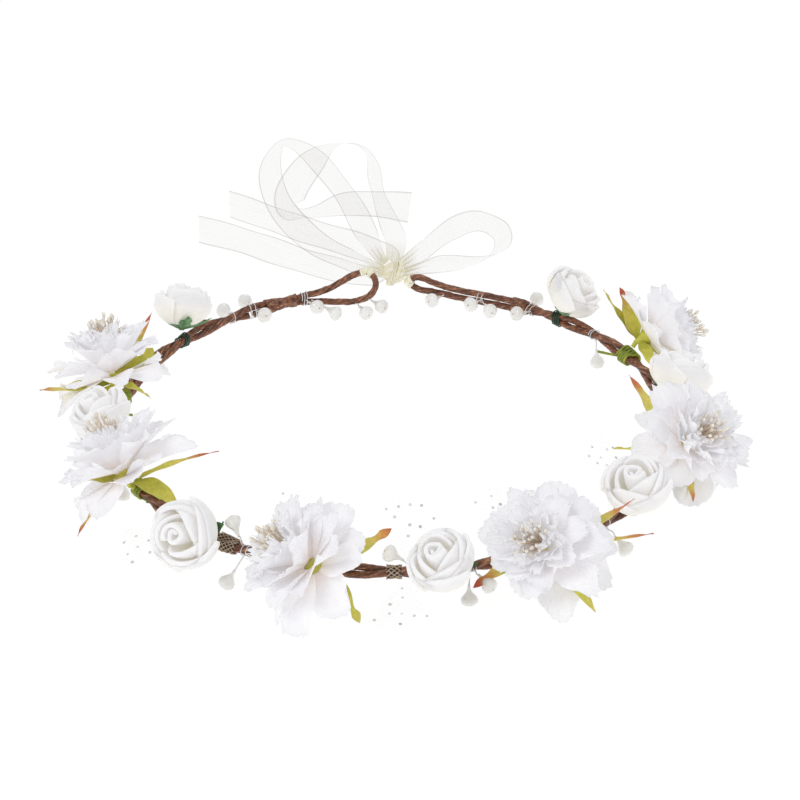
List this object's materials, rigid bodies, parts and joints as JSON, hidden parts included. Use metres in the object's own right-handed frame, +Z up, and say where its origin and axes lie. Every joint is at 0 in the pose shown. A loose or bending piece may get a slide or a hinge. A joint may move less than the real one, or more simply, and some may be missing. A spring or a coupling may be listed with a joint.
{
  "type": "flower crown",
  "caption": "Adult flower crown: a twisted paper-covered wire vine ring, open at the back, with white silk flowers, foam roses and pearl berries, closed by a tied organza bow",
  "frame": {"origin": "centre of the head opening, on the surface that the crown lies on", "axes": "+Z up out of the top of the head, -Y towards the front of the wearer's head, +Y towards the bow at the back, +X towards the wearer's left"},
  "size_m": [0.2464, 0.31, 0.0559],
  "materials": {
    "steel_wire": "plain steel florist wire",
    "brown_paper": "creased brown florist paper tape",
    "mesh_tape": "woven brown mesh tape",
    "dark_green_wire": "dark green enamelled wire",
    "green_tape": "waxy yellow-green stem tape",
    "white_wire": "white lacquered wire",
    "pearl": "pearly white lacquer",
    "net": "sheer dotted net",
    "organza": "sheer ivory organza",
    "foam": "matte white foam",
    "green_plastic": "matte green plastic",
    "sepal_cloth": "waxed yellow-green cloth with orange tips",
    "silk": "crisp white silk cloth",
    "stamen": "cream threads with pearly tips"
  },
  "bodies": {
    "ring": {"berries_back_left": "pearl", "berries_back_right": "pearl", "berries_front_left": "pearl", "berries_front_right": "pearl", "berry_wires": "white_wire", "dotted_net": "net", "eyelet_bindings": "brown_paper", "flower_stem_coils": "green_tape", "long_strand_core_wire": "steel_wire", "long_strand_paper": "brown_paper", "mesh_tape_wraps": "mesh_tape", "ribbon_hitches": "organza", "rose_back_left_bud": "foam", "rose_back_left_petals": "foam", "rose_back_right_bud": "foam", "rose_back_right_petals": "foam", "rose_binding_wires": "dark_green_wire", "rose_calyxes": "green_plastic", "rose_front_bud": "foam", "rose_front_left_bud": "foam", "rose_front_left_petals": "foam", "rose_front_petals": "foam", "rose_front_right_bud": "foam", "rose_front_right_petals": "foam", "rose_left_bud": "foam", "rose_left_petals": "foam", "rose_right_bud": "foam", "rose_right_petals": "foam", "short_strand_core_wire": "steel_wire", "short_strand_paper": "brown_paper"},
    "bow": {"bow_knot": "organza", "bow_loop_left": "organza", "bow_loop_right": "organza", "curled_tail": "organza"},
    "long_tail": {"long_tail": "organza"},
    "short_tail": {"short_tail": "organza"},
    "flower_left_head": {"flower_left_calyx": "sepal_cloth", "flower_left_outer_petals": "silk", "flower_left_inner_petals": "silk", "flower_left_stamens": "stamen"},
    "flower_front_left_head": {"flower_front_left_calyx": "sepal_cloth", "flower_front_left_outer_petals": "silk", "flower_front_left_inner_petals": "silk", "flower_front_left_stamens": "stamen"},
    "flower_front_right_head": {"flower_front_right_calyx": "sepal_cloth", "flower_front_right_outer_petals": "silk", "flower_front_right_inner_petals": "silk", "flower_front_right_stamens": "stamen"},
    "flower_right_head": {"flower_right_calyx": "sepal_cloth", "flower_right_outer_petals": "silk", "flower_right_inner_petals": "silk", "flower_right_stamens": "stamen"},
    "flower_back_right_head": {"flower_back_right_calyx": "sepal_cloth", "flower_back_right_outer_petals": "silk", "flower_back_right_inner_petals": "silk", "flower_back_right_stamens": "stamen"},
    "flower_back_left_head": {"flower_back_left_calyx": "sepal_cloth", "flower_back_left_outer_petals": "silk", "flower_back_left_inner_petals": "silk", "flower_back_left_stamens": "stamen"}
  },
  "joints": [
    {"name": "bow_swing", "type": "hinge", "parent": "ring", "child": "bow", "pos_m": [0, 0.1005, 0.0192], "axis": [1, 0, 0], "range_deg": [-40, 60]},
    {"name": "long_tail_swing", "type": "hinge", "parent": "bow", "child": "long_tail", "pos_m": [0, 0.1005, 0.0192], "axis": [1, 0, 0], "range_deg": [-45, 10]},
    {"name": "short_tail_swing", "type": "hinge", "parent": "bow", "child": "short_tail", "pos_m": [0, 0.1005, 0.0192], "axis": [1, 0, 0], "range_deg": [-45, 0]},
    {"name": "flower_left_nod", "type": "hinge", "parent": "ring", "child": "flower_left_head", "pos_m": [-0.08396, -0.04654, 0.014], "axis": [0.4848, -0.8746, 0], "range_deg": [-20, 20]},
    {"name": "flower_front_left_nod", "type": "hinge", "parent": "ring", "child": "flower_front_left_head", "pos_m": [-0.0216, -0.09354, 0.014], "axis": [0.9744, -0.225, 0], "range_deg": [-20, 20]},
    {"name": "flower_front_right_nod", "type": "hinge", "parent": "ring", "child": "flower_front_right_head", "pos_m": [0.04771, -0.08331, 0.014], "axis": [0.8678, 0.497, 0], "range_deg": [-20, 20]},
    {"name": "flower_right_nod", "type": "hinge", "parent": "ring", "child": "flower_right_head", "pos_m": [0.09273, -0.02485, 0.014], "axis": [0.2588, 0.9659, 0], "range_deg": [-20, 20]},
    {"name": "flower_back_right_nod", "type": "hinge", "parent": "ring", "child": "flower_back_right_head", "pos_m": [0.08437, 0.04581, 0.014], "axis": [-0.4772, 0.8788, 0], "range_deg": [-20, 20]},
    {"name": "flower_back_left_nod", "type": "hinge", "parent": "ring", "child": "flower_back_left_head", "pos_m": [-0.09507, 0.01336, 0.014], "axis": [-0.1392, -0.9903, 0], "range_deg": [-20, 20]}
  ]
}
